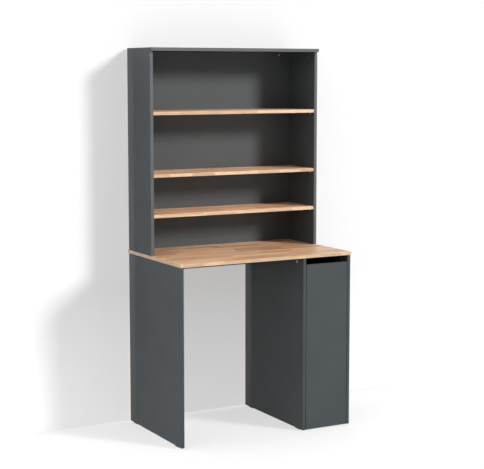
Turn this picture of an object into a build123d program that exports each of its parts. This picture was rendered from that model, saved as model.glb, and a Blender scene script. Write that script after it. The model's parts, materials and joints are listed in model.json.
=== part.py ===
"""Washing machine cabinet with a tall laundry pull-out and a three-shelf hutch, in millimetres.

Two gables and a divider carry a wood-decor worktop over a free bay for a washing machine.
Beside the bay a narrow compartment holds a tall laundry bin on full-extension ball-bearing runners.
The hutch stands on the worktop, with a thin back in grooves and three shelves on angled supports.
Origin: centre of the footprint, on the floor. +X is to the right, +Y to the wall, +Z up.
"""

import os
from math import cos, radians, sin, sqrt

from build123d import *

# Driving dimensions of the base
board = 16.0
worktop_thickness = 16.0
bay_width = 648.0
compartment_width = 240.0
panel_depth = 585.0
panel_height = 856.0
glide_height = 4.0
worktop_front_overhang = 5.0
worktop_back_overhang = 10.0
worktop_side_overhang = 2.0
edge_break = 0.6

# Driving dimensions of the hutch
hutch_height = 1000.0
hutch_depth = 265.0
hutch_top_overhang = 16.0
lower_shelf_gap = 182.0
middle_shelf_gap = 180.0
upper_shelf_gap = 284.0
shelf_recess = 2.0
shelf_end_play = 0.5

# Thin backs and the grooves that hold them
back_thickness = 3.0
back_setback = 7.0
compartment_back_setback = 20.0
groove_depth = 6.0
groove_play = 0.2
back_end_play = 1.0

# Pull-out front and bin
grip_slot_height = 33.0
front_side_gap = 2.0
front_floor_gap = 5.0
bin_height = 560.0
bin_floor_lift = 12.0
bin_rear_clearance = 44.0
compartment_floor_height = 20.0
buffer_thickness = 3.0
buffer_play = 0.3
buffer_radius = 4.0
buffer_inset = 30.0

# Rear rail of the bay
rail_height = 100.0
rail_dowel_shares = (0.25, 0.75)

# Ball-bearing runner
runner_height = 45.8
runner_thickness = 12.7
runner_setback = 2.0
runner_axis_above_bin = 90.0
steel = 1.2
outer_ball_radius = 2.0
inner_ball_radius = 1.75
race_clearance = 0.05
web_clearance = 1.1
cage_thickness = 0.6
cage_length_share = 0.4
cage_ball_play = 0.1
cage_web_play = 0.4
cage_wall = 1.0
cage_inset = 0.3
outer_cage_offset = 0.45
inner_cage_offset = -0.42
balls_per_row = 2
ball_bar_sides = 8
cage_end_margin = 30.0
screw_pitch_shares = (0.08, 0.9)

# Bends of the runner's rolled strips, in degrees about a ball's centre, with 0 towards the bin
crossover_angle = -40.0
outer_lip_angle = 25.0
cradle_start_angle = -115.0
inner_lip_angle = 20.0
inner_cradle_start_angle = -125.0
inner_cradle_end_angle = -30.0

# Fittings; their hidden shanks are six-sided bars of the true size across corners
bar_sides = 6
fit_play = 0.1
cam_radius = 7.5
cam_depth = 12.4
cam_distance = 24.0
cam_recess = 0.4
cam_floor_play = 0.3
bolt_thread_radius = 2.5
bolt_thread_length = 11.0
bolt_shank_radius = 3.4
bolt_past_axis = 1.5
bolt_bore_radius = 4.0
cam_pocket_past_axis = 2.5
dowel_radius = 4.0
dowel_length = 30.0
dowel_face_depth = 10.0
dowel_end_play = 0.5
bin_dowel_radius = 3.0
bin_dowel_length = 24.0
glide_width = 13.0
glide_length = 40.0
glide_pin_radius = 1.4
glide_pin_length = 14.0
glide_inset = 55.0
support_width = 8.0
support_reach = 12.0
support_drop = 9.0
support_sheet = 1.6
support_pin_radius = 2.5
support_pin_length = 8.0
support_inset = 37.0
runner_screw_radius = 2.5
runner_screw_head_radius = 3.4
runner_screw_head = 0.8
runner_screw_length = 10.0
bracket_width = 20.0
bracket_leg = 22.0
bracket_drop = 26.0
bracket_sheet = 2.0
bracket_screw_radius = 2.0
bracket_screw_head_radius = 4.0
bracket_screw_head = 2.0
bracket_screw_length = 12.0
bracket_inset = 62.0
wall_hole_radius = 2.75
back_hole_radius = 4.0
fixing_inset = 60.0
overrun = 5.0

# Stations across the width
carcass_width = 3 * board + bay_width + compartment_width
left_outer = -carcass_width / 2
left_inner = left_outer + board
divider_left = left_inner + bay_width
divider_right = divider_left + board
right_inner = divider_right + compartment_width
right_outer = right_inner + board

# Stations through the depth
worktop_depth = worktop_front_overhang + panel_depth + worktop_back_overhang
worktop_front, worktop_rear = -worktop_depth / 2, worktop_depth / 2
panel_front = worktop_front + worktop_front_overhang
panel_back = panel_front + panel_depth
hutch_front = panel_back - hutch_depth
back_rear = panel_back - back_setback
back_face = back_rear - back_thickness
compartment_back_rear = panel_back - compartment_back_setback
compartment_back_face = compartment_back_rear - back_thickness
front_rear = panel_front + board
bin_rear = compartment_back_face - bin_rear_clearance
runner_front = front_rear + runner_setback
runner_length = bin_rear - runner_front
cage_length = runner_length * cage_length_share

# Stations up the height
base_bottom = glide_height
base_top = base_bottom + panel_height
worktop_top = base_top + worktop_thickness
hutch_top_face = worktop_top + hutch_height
hutch_top_underside = hutch_top_face - board

solids = {}
cuts = {}


def span_box(x, y, z):
    """A box from its low and high station on each axis."""
    size = [high - low for low, high in (x, y, z)]
    middle = [(low + high) / 2 for low, high in (x, y, z)]
    return Pos(*middle) * Box(*size)


def add_board(name, x, y, z):
    """A faced board with lightly broken edges, kept under its name."""
    blank = span_box(x, y, z)
    solids[name] = chamfer(blank.edges(), edge_break)
    cuts[name] = []


def rod(low, high, radius):
    """A cylinder on the local Z axis from one station to another."""
    return Pos(0, 0, (low + high) / 2) * Cylinder(radius, high - low)


def bar(low, high, radius):
    """A six-sided bar on the local Z axis from one station to another."""
    return Pos(0, 0, low) * extrude(RegularPolygon(radius, bar_sides), high - low)


def add_group(name, shapes):
    """Several like pieces kept as separate solids of one node."""
    solids[name] = Compound(children=list(shapes))


# Cam fitting, on local axes: +Z runs along the bolt into the held board, +X to the cam's face

def cam_body():
    """Cam disc lying in its housing bore, with the pocket that takes the bolt's head."""
    middle = board / 2 - cam_recess - cam_depth / 2 + cam_floor_play
    height = cam_depth - cam_floor_play
    disc = Pos(middle, 0, cam_distance) * Rot(0, 90, 0) * Cylinder(cam_radius, height)
    return disc - bar(0, cam_distance + cam_pocket_past_axis, bolt_bore_radius)


def cam_bolt():
    """Bolt with its thread in the carrying board and its head inside the cam."""
    thread = bar(-bolt_thread_length, 0, bolt_thread_radius)
    return thread + bar(0, cam_distance + bolt_past_axis, bolt_shank_radius)


def cam_bores():
    """Housing and bolt bores of the held board, and the bolt's pilot bore in the carrying board."""
    low = board / 2 - cam_recess - cam_depth
    high = board / 2 + overrun
    housing = Pos((low + high) / 2, 0, cam_distance) * Rot(0, 90, 0)
    housing = housing * Cylinder(cam_radius + fit_play, high - low)
    channel = bar(-overrun, cam_distance, bolt_bore_radius)
    pilot = bar(-bolt_thread_length - fit_play, 0, bolt_thread_radius + fit_play)
    return [housing, channel], [pilot]


CAM, BOLT = cam_body(), cam_bolt()
HELD_BORES, CARRIER_BORES = cam_bores()


class FittingSet:
    """Cams, bolts and dowels of one assembly."""

    def __init__(self):
        self.cams, self.bolts, self.dowels = [], [], []

    def cam(self, held, carrier, origin, into, face):
        """One cam fitting that pulls the held board's edge onto the carrying board."""
        place = Plane(origin=origin, x_dir=face, z_dir=into).location
        self.cams.append(place * CAM)
        self.bolts.append(place * BOLT)
        cuts[held] += [place * bore for bore in HELD_BORES]
        cuts[carrier] += [place * bore for bore in CARRIER_BORES]

    def dowel(self, held, carrier, origin, into, radius=dowel_radius, length=dowel_length):
        """One beech dowel, deep in the held board's edge and shallow in the carrier's face."""
        place = Plane(origin=origin, z_dir=into).location
        low, high = -dowel_face_depth, length - dowel_face_depth
        self.dowels.append(place * bar(low, high, radius))
        bore = place * bar(low - dowel_end_play, high + dowel_end_play, radius + fit_play)
        cuts[held].append(bore)
        cuts[carrier].append(bore)


base_fit, hutch_fit, pullout_fit = FittingSet(), FittingSet(), FittingSet()
LEFT, RIGHT, UP, DOWN, FRONTWARD, BACKWARD = (
    (-1, 0, 0), (1, 0, 0), (0, 0, 1), (0, 0, -1), (0, -1, 0), (0, 1, 0),
)


# Base carcass

def make_base():
    """Gables, divider, worktop, rear rail and compartment floor."""
    depth, height = (panel_front, panel_back), (base_bottom, base_top)
    add_board("left_side_panel", (left_outer, left_inner), depth, height)
    add_board("divider_panel", (divider_left, divider_right), depth, height)
    add_board("right_side_panel", (right_inner, right_outer), depth, height)
    add_board(
        "worktop",
        (left_outer - worktop_side_overhang, right_outer + worktop_side_overhang),
        (worktop_front, worktop_rear),
        (base_top, worktop_top),
    )
    add_board(
        "bay_rear_rail",
        (left_inner, divider_left),
        (panel_back - board, panel_back),
        (base_top - rail_height, base_top),
    )
    floor_front = front_rear + buffer_thickness
    floor_low = compartment_floor_height
    add_board(
        "compartment_floor",
        (divider_right, right_inner),
        (floor_front, compartment_back_face),
        (floor_low, floor_low + board),
    )

    uprights = (
        ("left_side_panel", left_outer, RIGHT),
        ("divider_panel", divider_left, LEFT),
        ("right_side_panel", right_inner, LEFT),
    )
    for name, low_x, face in uprights:
        centre = low_x + board / 2
        for y in (panel_front + fixing_inset, panel_back - fixing_inset):
            base_fit.cam(name, "worktop", (centre, y, base_top), DOWN, face)
        base_fit.dowel(name, "worktop", (centre, (panel_front + panel_back) / 2, base_top), DOWN)

    rail_y = panel_back - board / 2
    for x, upright, into in ((left_inner, "left_side_panel", RIGHT), (divider_left, "divider_panel", LEFT)):
        for share in rail_dowel_shares:
            base_fit.dowel("bay_rear_rail", upright, (x, rail_y, base_top - rail_height * share), into)

    floor_z = floor_low + board / 2
    sides = ((divider_right, "divider_panel", RIGHT), (right_inner, "right_side_panel", LEFT))
    for x, upright, into in sides:
        for y in (floor_front + fixing_inset, compartment_back_face - fixing_inset):
            base_fit.dowel("compartment_floor", upright, (x, y, floor_z), into)


def make_backs():
    """Thin backs of the compartment and the hutch, held in grooves."""
    reach = groove_depth - back_end_play
    compartment_low = compartment_floor_height
    groove_y = (compartment_back_face - groove_play, compartment_back_rear + groove_play)
    solids["compartment_back"] = span_box(
        (divider_right - reach, right_inner + reach),
        (compartment_back_face, compartment_back_rear),
        (compartment_low, base_top),
    )
    for name, x in (
        ("divider_panel", (divider_right - groove_depth, divider_right + overrun)),
        ("right_side_panel", (right_inner - overrun, right_inner + groove_depth)),
    ):
        cuts[name].append(span_box(x, groove_y, (compartment_low, base_top + overrun)))

    groove_y = (back_face - groove_play, back_rear + groove_play)
    solids["hutch_back"] = span_box(
        (left_inner - reach, right_inner + reach),
        (back_face, back_rear),
        (worktop_top, hutch_top_underside + reach),
    )
    cuts["hutch_back"] = []
    for name, x in (
        ("hutch_left_side", (left_inner - groove_depth, left_inner + overrun)),
        ("hutch_right_side", (right_inner - overrun, right_inner + groove_depth)),
    ):
        cuts[name].append(span_box(x, groove_y, (worktop_top - overrun, hutch_top_underside + overrun)))
    cuts["hutch_top"].append(
        span_box(
            (left_inner - groove_depth, right_inner + groove_depth),
            groove_y,
            (hutch_top_underside - overrun, hutch_top_underside + groove_depth),
        )
    )


# Hutch

def make_hutch():
    """Two sides and a top over the worktop, with their cams on the inner faces."""
    depth, height = (hutch_front, panel_back), (worktop_top, hutch_top_underside)
    add_board("hutch_left_side", (left_outer, left_inner), depth, height)
    add_board("hutch_right_side", (right_inner, right_outer), depth, height)
    add_board(
        "hutch_top",
        (left_outer, right_outer),
        (hutch_front - hutch_top_overhang, panel_back),
        (hutch_top_underside, hutch_top_face),
    )
    middle_y = (hutch_front + back_face) / 2
    sides = (("hutch_left_side", left_outer, RIGHT), ("hutch_right_side", right_inner, LEFT))
    for name, low_x, face in sides:
        centre = low_x + board / 2
        for y in (hutch_front + fixing_inset, back_face - fixing_inset):
            hutch_fit.cam(name, "hutch_top", (centre, y, hutch_top_underside), DOWN, face)
            hutch_fit.dowel(name, "worktop", (centre, y, worktop_top), UP)
        for carrier, z, into in (("hutch_top", hutch_top_underside, DOWN), ("worktop", worktop_top, UP)):
            hutch_fit.dowel(name, carrier, (centre, middle_y, z), into)


def shelf_support(side, face_x, y, underside):
    """Angled support: a pin in the side, a flange on its face and a ledge under the shelf."""
    half = support_width / 2

    def across(near, far):
        return tuple(sorted((face_x + side * near, face_x + side * far)))

    ledge = span_box(across(0, support_reach), (y - half, y + half), (underside - support_sheet, underside))
    flange = span_box(across(0, support_sheet), (y - half, y + half), (underside - support_drop, underside))
    pin_z = underside - support_drop / 2
    axis = Plane(origin=(face_x, y, pin_z), z_dir=(-side, 0, 0)).location
    pin = axis * bar(0, support_pin_length, support_pin_radius)
    bore = axis * bar(-overrun, support_pin_length + fit_play, support_pin_radius + fit_play)
    return ledge + flange + pin, bore


def make_shelves():
    """Three shelves, each on four supports."""
    supports = []
    sides = ((1, left_inner, "hutch_left_side"), (-1, right_inner, "hutch_right_side"))
    underside = worktop_top
    rear_y = back_face - support_inset
    for name, gap in (
        ("shelf_lower", lower_shelf_gap),
        ("shelf_middle", middle_shelf_gap),
        ("shelf_upper", upper_shelf_gap),
    ):
        underside += gap
        add_board(
            name,
            (left_inner + shelf_end_play, right_inner - shelf_end_play),
            (hutch_front + shelf_recess, back_face - shelf_end_play),
            (underside, underside + board),
        )
        for side, face_x, panel in sides:
            for y in (hutch_front + support_inset, rear_y):
                support, bore = shelf_support(side, face_x, y, underside)
                supports.append(support)
                cuts[panel].append(bore)
        underside += board
    add_group("shelf_supports", supports)


def make_wall_brackets():
    """Two steel angles under the hutch top, with a hole each for a screw into the wall."""
    angles, screws = [], []
    half = bracket_width / 2
    rear, top = back_face, hutch_top_underside
    screw_y = rear - bracket_leg / 2
    wall_hole_z = top - bracket_drop / 2 - bracket_sheet / 2
    for x in (left_inner + bracket_inset, right_inner - bracket_inset):
        ledge = span_box((x - half, x + half), (rear - bracket_leg, rear), (top - bracket_sheet, top))
        plate = span_box((x - half, x + half), (rear - bracket_sheet, rear), (top - bracket_drop, top))
        wall_axis = Plane(origin=(x, rear, wall_hole_z), z_dir=BACKWARD).location
        screw_axis = Plane(origin=(x, screw_y, top), z_dir=UP).location
        clear = bracket_screw_radius + fit_play
        angle = ledge + plate
        angle -= wall_axis * rod(-bracket_leg, overrun, wall_hole_radius)
        angle -= screw_axis * bar(-bracket_drop, overrun, clear)
        angles.append(angle)
        cuts["hutch_back"].append(wall_axis * rod(-overrun, back_thickness + overrun, back_hole_radius))
        shank = bar(-bracket_sheet, bracket_screw_length, bracket_screw_radius)
        head = bar(-bracket_sheet - bracket_screw_head, -bracket_sheet, bracket_screw_head_radius)
        screws.append(screw_axis * (shank + head))
        cuts["hutch_top"].append(screw_axis * bar(-overrun, bracket_screw_length + fit_play, clear))
    add_group("wall_brackets", angles)
    add_group("wall_bracket_screws", screws)


def make_glides():
    """Nail-on plastic glides under the gables and the divider."""
    glides = []
    for name, low_x in (
        ("left_side_panel", left_outer),
        ("divider_panel", divider_left),
        ("right_side_panel", right_inner),
    ):
        for y in (panel_front + glide_inset, panel_back - glide_inset):
            place = Pos(low_x + board / 2, y, base_bottom)
            plate = Pos(0, 0, -glide_height / 2) * Box(glide_width, glide_length, glide_height)
            glides.append(place * (plate + bar(0, glide_pin_length, glide_pin_radius)))
            cuts[name].append(place * bar(-overrun, glide_pin_length + fit_play, glide_pin_radius + fit_play))
    add_group("floor_glides", glides)


# Rolled runner sections, on local axes: u from the cabinet's wall to the bin, w up from the axis
outer_race = outer_ball_radius + race_clearance + steel / 2
inner_race = inner_ball_radius + race_clearance + steel / 2
outer_ball_u = steel / 2 + outer_race
outer_ball_w = runner_height / 2 - steel / 2 - outer_race
inner_ball_u = outer_ball_u + (outer_race + inner_race) * cos(radians(crossover_angle))
inner_ball_w = outer_ball_w + (outer_race + inner_race) * sin(radians(crossover_angle))
middle_web_u = steel + web_clearance + steel / 2
inner_web_u = runner_thickness - steel / 2
cradle_cos = cos(radians(inner_cradle_end_angle))
cradle_sin = sin(radians(inner_cradle_end_angle))
crest_radius = (inner_web_u - inner_ball_u - inner_race * cradle_cos) / (1 + cradle_cos)
crest_u = inner_web_u - crest_radius
crest_w = inner_ball_w + (inner_race + crest_radius) * cradle_sin


def strip_arc(centre, radius, start, end):
    """A bent stretch of the rolled strip, between two angles about a centre."""
    outer = CenterArc(centre, radius + steel / 2, start, end - start)
    inner = CenterArc(centre, radius - steel / 2, start, end - start)
    return make_face([outer, Line(outer @ 1, inner @ 1), inner, Line(inner @ 0, outer @ 0)])


def strip_web(centre_u, top_w):
    """The strip's flat web, from the axis up to a height."""
    return Pos(centre_u, top_w / 2) * Rectangle(steel, top_w)


def whole_section(half):
    """Both halves of a section that is alike above and below its axis."""
    return half + mirror(half, about=Plane.XZ)


def cabinet_section():
    """C section whose hooked lips wrap the outer balls."""
    hook = strip_arc((outer_ball_u, outer_ball_w), outer_race, outer_lip_angle, 180)
    return whole_section(strip_web(steel / 2, outer_ball_w) + hook)


def middle_section():
    """S-lipped section: it cradles the outer balls and wraps the inner ones."""
    cradle = strip_arc((outer_ball_u, outer_ball_w), outer_race, cradle_start_angle, crossover_angle)
    wrap = strip_arc((inner_ball_u, inner_ball_w), inner_race, inner_lip_angle, 180 + crossover_angle)
    return whole_section(strip_web(middle_web_u, outer_ball_w - outer_race) + cradle + wrap)


def drawer_section():
    """Shallow C section that cradles the inner balls and screws to the bin's side."""
    cradle = strip_arc(
        (inner_ball_u, inner_ball_w), inner_race, inner_cradle_start_angle, inner_cradle_end_angle
    )
    crest = strip_arc((crest_u, crest_w), crest_radius, 0, 180 + inner_cradle_end_angle)
    return whole_section(strip_web(inner_web_u, crest_w) + cradle + crest)


def runner_screw():
    """Flat hexagon-head screw: its head lies inside the member, its shank runs through the web."""
    shank = bar(-steel, runner_screw_length, runner_screw_radius)
    return shank + bar(-steel - runner_screw_head, -steel, runner_screw_head_radius)


def make_runner(hand, side, wall_x, carrier, bin_side, axis_z):
    """One runner: three rolled members, its screws, and its four rows of caged balls."""
    place = Plane(origin=(wall_x, bin_rear, axis_z), x_dir=(side, 0, 0), z_dir=FRONTWARD).location
    members = {
        "cabinet_member": extrude(place * cabinet_section(), runner_length, dir=FRONTWARD),
        "middle_member": extrude(place * middle_section(), runner_length, dir=FRONTWARD),
        "drawer_member": extrude(place * drawer_section(), runner_length, dir=FRONTWARD),
    }
    wall_screws, bin_screws = [], []
    through = bar(-steel - overrun / 2, runner_screw_length + fit_play, runner_screw_radius + fit_play)
    for share in screw_pitch_shares:
        y = runner_front + share * runner_length
        at_wall = Plane(origin=(wall_x, y, axis_z), z_dir=(-side, 0, 0)).location
        wall_screws.append(at_wall * runner_screw())
        members["cabinet_member"] -= at_wall * through
        cuts[carrier].append(at_wall * through)
        at_bin = Plane(origin=(wall_x + side * runner_thickness, y, axis_z), z_dir=(side, 0, 0)).location
        bin_screws.append(at_bin * runner_screw())
        members["drawer_member"] -= at_bin * through
        cuts[bin_side].append(at_bin * through)
    for kind, member in members.items():
        solids[f"{hand}_runner_{kind}"] = member
    return wall_screws, bin_screws, caged_rows(place, OUTER_ROW), caged_rows(place, INNER_ROW)


# Each row: ball radius, ball centre, the cage strip's low and high u, its height above the centre
OUTER_ROW = (
    outer_ball_radius,
    (outer_ball_u, outer_ball_w),
    (steel + cage_web_play, outer_ball_u + outer_ball_radius + cage_wall),
    outer_cage_offset,
)
INNER_ROW = (
    inner_ball_radius,
    (inner_ball_u, inner_ball_w),
    (inner_ball_u - inner_ball_radius - cage_wall, inner_ball_u + inner_ball_radius - cage_inset),
    inner_cage_offset,
)


def faceted_ball(radius):
    """The core that three crossed bars share; the corners round its square faces lie on the true ball."""
    half_side_angle = 180 / ball_bar_sides
    bar_radius = radius / sqrt(1 + sin(radians(half_side_angle)) ** 2)
    flats = RegularPolygon(bar_radius, ball_bar_sides, rotation=half_side_angle)
    one_bar = Pos(0, 0, -radius) * extrude(flats, 2 * radius)
    return one_bar & Rot(90, 0, 0) * one_bar & Rot(0, 90, 0) * one_bar


def caged_rows(place, row):
    """The upper and lower row of balls of one stage, and the slotted strips that space them."""
    radius, (u, w), reach_u, offset = row
    pitch = (cage_length - 2 * cage_end_margin) / (balls_per_row - 1)
    start = (runner_length - cage_length) / 2
    strips, balls = [], []
    for flip in (1, -1):
        strip_w = flip * (w + offset)
        strip = span_box(
            reach_u,
            (strip_w - cage_thickness / 2, strip_w + cage_thickness / 2),
            (start, start + cage_length),
        )
        for index in range(balls_per_row):
            along = start + cage_end_margin + index * pitch
            balls.append(place * Pos(u, flip * w, along) * faceted_ball(radius))
            half = radius + cage_ball_play
            strip -= span_box(
                (u - half, u + half), (strip_w - half, strip_w + half), (along - half, along + half)
            )
        strips.append(place * strip)
    return strips, balls


# Laundry pull-out

def make_pullout():
    """Tall front and deep bin of faced board, carried by two runners."""
    front_low, front_high = front_floor_gap, base_top - grip_slot_height
    add_board(
        "pullout_front",
        (divider_right + front_side_gap, right_inner - front_side_gap),
        (panel_front, front_rear),
        (front_low, front_high),
    )
    bin_left, bin_right = divider_right + runner_thickness, right_inner - runner_thickness
    bin_low = compartment_floor_height + board + bin_floor_lift
    bin_high = bin_low + bin_height
    depth, height = (front_rear, bin_rear), (bin_low, bin_high)
    add_board("bin_left_side", (bin_left, bin_left + board), depth, height)
    add_board("bin_right_side", (bin_right - board, bin_right), depth, height)
    inside = (bin_left + board, bin_right - board)
    add_board("bin_back", inside, (bin_rear - board, bin_rear), height)
    add_board("bin_floor", inside, (front_rear, bin_rear - board), (bin_low, bin_low + board))

    for name, low_x in (("bin_left_side", bin_left), ("bin_right_side", bin_right - board)):
        centre = low_x + board / 2
        for z in (bin_low + fixing_inset, bin_high - fixing_inset):
            pullout_fit.dowel(name, "pullout_front", (centre, front_rear, z), BACKWARD)
    for name, x, into in (("bin_left_side", inside[0], RIGHT), ("bin_right_side", inside[1], LEFT)):
        back_y, floor_z = bin_rear - board / 2, bin_low + board / 2
        for z in (bin_low + fixing_inset, bin_high - fixing_inset):
            pullout_fit.dowel("bin_back", name, (x, back_y, z), into, bin_dowel_radius, bin_dowel_length)
        for y in (front_rear + fixing_inset, bin_rear - board - fixing_inset):
            pullout_fit.dowel("bin_floor", name, (x, y, floor_z), into, bin_dowel_radius, bin_dowel_length)

    axis_z = bin_low + runner_axis_above_bin
    left = make_runner("left", 1, divider_right, "divider_panel", "bin_left_side", axis_z)
    right = make_runner("right", -1, right_inner, "right_side_panel", "bin_right_side", axis_z)
    add_group("runner_wall_screws", left[0] + right[0])
    add_group("runner_bin_screws", left[1] + right[1])
    for name, stage in (("outer", 2), ("inner", 3)):
        add_group(f"{name}_ball_cages", left[stage][0] + right[stage][0])
        add_group(f"{name}_balls", left[stage][1] + right[stage][1])

    buffers = []
    for x in (divider_right + buffer_inset, right_inner - buffer_inset):
        seat = (x, front_rear + buffer_thickness, compartment_floor_height + board / 2)
        place = Plane(origin=seat, z_dir=FRONTWARD).location
        buffers.append(place * rod(0, buffer_thickness - buffer_play, buffer_radius))
    add_group("stop_buffers", buffers)


def finish_boards():
    """Bores and grooves are cut once all the fittings have been placed."""
    for name, tools in cuts.items():
        if tools:
            solids[name] = solids[name] - tools


make_base()
make_hutch()
make_backs()
make_shelves()
make_wall_brackets()
make_glides()
make_pullout()
finish_boards()
add_group("base_cams", base_fit.cams)
add_group("base_cam_bolts", base_fit.bolts)
add_group("hutch_cams", hutch_fit.cams)
add_group("hutch_cam_bolts", hutch_fit.bolts)
add_group("carcass_dowels", base_fit.dowels + hutch_fit.dowels)
add_group("pullout_dowels", pullout_fit.dowels)

os.makedirs("parts", exist_ok=True)
for node, shape in solids.items():
    export_step(shape, f"parts/{node}.step")
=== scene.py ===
import json
import math

import bmesh
import bpy
from mathutils import Matrix, Vector
from mathutils.geometry import tessellate_polygon

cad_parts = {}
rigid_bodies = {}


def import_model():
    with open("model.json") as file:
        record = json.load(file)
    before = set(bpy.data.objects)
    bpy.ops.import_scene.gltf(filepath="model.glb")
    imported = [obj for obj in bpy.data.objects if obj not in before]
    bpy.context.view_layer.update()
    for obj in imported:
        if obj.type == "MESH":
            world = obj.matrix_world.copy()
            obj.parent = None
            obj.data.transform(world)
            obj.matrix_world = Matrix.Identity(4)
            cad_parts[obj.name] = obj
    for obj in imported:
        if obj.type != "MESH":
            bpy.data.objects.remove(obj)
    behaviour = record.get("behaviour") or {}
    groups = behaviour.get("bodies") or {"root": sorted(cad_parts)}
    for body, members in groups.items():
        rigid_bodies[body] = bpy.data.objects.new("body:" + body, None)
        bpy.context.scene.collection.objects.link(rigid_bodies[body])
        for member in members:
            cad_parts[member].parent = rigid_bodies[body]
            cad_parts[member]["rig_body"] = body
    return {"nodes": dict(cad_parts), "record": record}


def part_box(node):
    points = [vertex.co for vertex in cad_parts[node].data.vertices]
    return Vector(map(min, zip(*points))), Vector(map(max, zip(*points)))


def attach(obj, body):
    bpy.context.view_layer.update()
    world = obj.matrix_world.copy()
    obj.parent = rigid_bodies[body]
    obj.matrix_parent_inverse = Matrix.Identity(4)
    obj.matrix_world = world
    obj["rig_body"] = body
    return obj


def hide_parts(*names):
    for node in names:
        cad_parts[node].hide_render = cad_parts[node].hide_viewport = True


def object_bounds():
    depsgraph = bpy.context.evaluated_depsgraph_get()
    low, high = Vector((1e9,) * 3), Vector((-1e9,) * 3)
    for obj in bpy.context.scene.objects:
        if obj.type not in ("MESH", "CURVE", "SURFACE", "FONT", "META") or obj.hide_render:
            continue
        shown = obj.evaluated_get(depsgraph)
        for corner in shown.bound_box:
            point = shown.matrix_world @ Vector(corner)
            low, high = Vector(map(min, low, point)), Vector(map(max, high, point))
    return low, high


# Looks of a washing machine cabinet with a tall pull-out and a hutch of three shelves.
# Metres; X to the right, Y to the wall, Z up. The frame gives every solid at rest.
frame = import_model()
cad_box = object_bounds()
nodes = frame["nodes"]
slots = {part["node"]: part["material_slot"] for part in frame["record"]["subparts"]}
MM = 0.001
X, Y, Z = range(3)
UP = Vector((0, 0, 1))

# Camera
CAMERA_PLACE = (-3.1314, -5.7336, 1.7613)
CAMERA_YAW = 0.5022
CAMERA_PITCH = 0.1116
CAMERA_LENS = 98.483
CAMERA_SENSOR = 36.0
CAMERA_SHIFT = -0.03

# Light: a low soft key from the right of the front, and a room that is brightest on the left
KEY_DIRECTION = (0.5655, -0.7392, 0.3659)
KEY_STRENGTH = 3.75
KEY_WIDTH = math.radians(13)
ROOM_LEVEL = 0.18
ROOM_OVERHEAD = 0.10
ROOM_LEFT = 2.05

# Stage
WALL_GAP = 4 * MM
FLOOR_DROP = 0.2 * MM
STAGE_REACH = 14.0
STAGE_TONE = 0.85
STAGE_MOTTLE = (3.0, 2.0)
STAGE_MOTTLE_TONES = (0.997, 1.0)
FLOOR_SEEN_TONE = 0.35
FLOOR_GLOW = 0.59
WALL_SEEN_TONE = 0.39
WALL_GLOW = 0.373
WALL_GLOW_LOW = 0.525
WALL_GLOW_RISE = 0.68
BEHIND_REACH = 90 * MM

# Sockets of a colour mix: its factor and two colours, and the one that gives the colour
MIX_INPUTS = (0, 6, 7)
MIX_OUTPUT = 2

# How squarely a surface looks along an axis: enough for a face with its chamfers, or for the face alone
EITHER_WAY = 0
FACE_AND_CHAMFERS = 0.7
FACE_ALONE = 0.8

# The middle of a noise's values, which a tone or a roughness is spread over
TONE_RANGE = (0.35, 0.65)
ROUGH_RANGE = (0.3, 0.7)

# In what follows a noise is its scale or stretch, its detail and its roughness, and a relief is its
# height and strength. A share says how strongly a mark or a noise shows, from nought to one.

# Edge bands and raw edges of faced boards
BAND_THICKNESS = 1.0 * MM
BAND_SEAM = 0.14 * MM
CHIP_SCALE = 420.0
CHIP_STRETCH = (1.0, 1.0, 0.45)
CHIP_DEEP = (0.30, 0.19, 0.10, 1)
CHIP_LIGHT = (0.60, 0.44, 0.27, 1)
CHIP_DARK = (0.14, 0.08, 0.04, 1)
CHIP_SPECKS = (900.0, 2.0)
CHIP_SPECK_RANGE = (0.60, 0.72)
CHIP_ROUGHNESS = 0.85
CHIP_RELIEF = (0.4 * MM, 0.6)
RAW_REAR = (
    "left_side_panel", "divider_panel", "right_side_panel", "worktop",
    "hutch_left_side", "hutch_right_side", "hutch_top",
    "bin_left_side", "bin_right_side",
)
RAW_UNDERSIDE = (
    "left_side_panel", "divider_panel", "right_side_panel",
    "bin_left_side", "bin_right_side", "bin_back", "bin_floor",
)

# Graphite facing, and which side of each hutch board looks into the hutch; those inner faces and the boards'
# front edges are painted lighter as painted light
GRAPHITE = (0.0315, 0.0380, 0.0420, 1)
GRAPHITE_DEEP = (0.0265, 0.0320, 0.0355, 1)
GRAPHITE_SEAM = (0.014, 0.016, 0.017, 1)
GRAPHITE_SEAM_SHARE = 0.7
GRAPHITE_SHINE = 0.26
GRAPHITE_ROUGHNESS = (0.42, 0.47)
UPPER_ROUGHNESS = 0.80
GRAPHITE_CLOUD = (5.0, 3.0)
GRAPHITE_CLOUD_SHARE = 0.6
GRAPHITE_FLECK = (1400.0, 1.0)
GRAPHITE_SMUDGE = (9.0, 4.0, 0.6)
GRAPHITE_PEARL = (1100.0, 2.0)
GRAPHITE_RELIEF = (0.05 * MM, 0.35)
HUTCH_BAND_PAINTED_LIGHT = (2.35, 2.0, 1.85)
HUTCH_INNER_PAINTED_LIGHT = (1.42, 1.36, 1.32)
HUTCH_INNER_SIDES = {"hutch_left_side": (X, 1), "hutch_right_side": (X, -1), "hutch_top": (Z, -1)}

# Block-board print: its staves
HALF = 0.5
STAVE_WIDTH = 38 * MM
STAVE_SHORT = 130 * MM
STAVE_SPREAD = 220 * MM
STAVE_JOINT = 0.35 * MM
BAND_LENGTH_SHARE = 0.8
PRINT_SHIFT = 7.0
ROW_SEED = 3.0
OTHER_SEED = 5.0
RUN_SHIFT = 9.0

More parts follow.
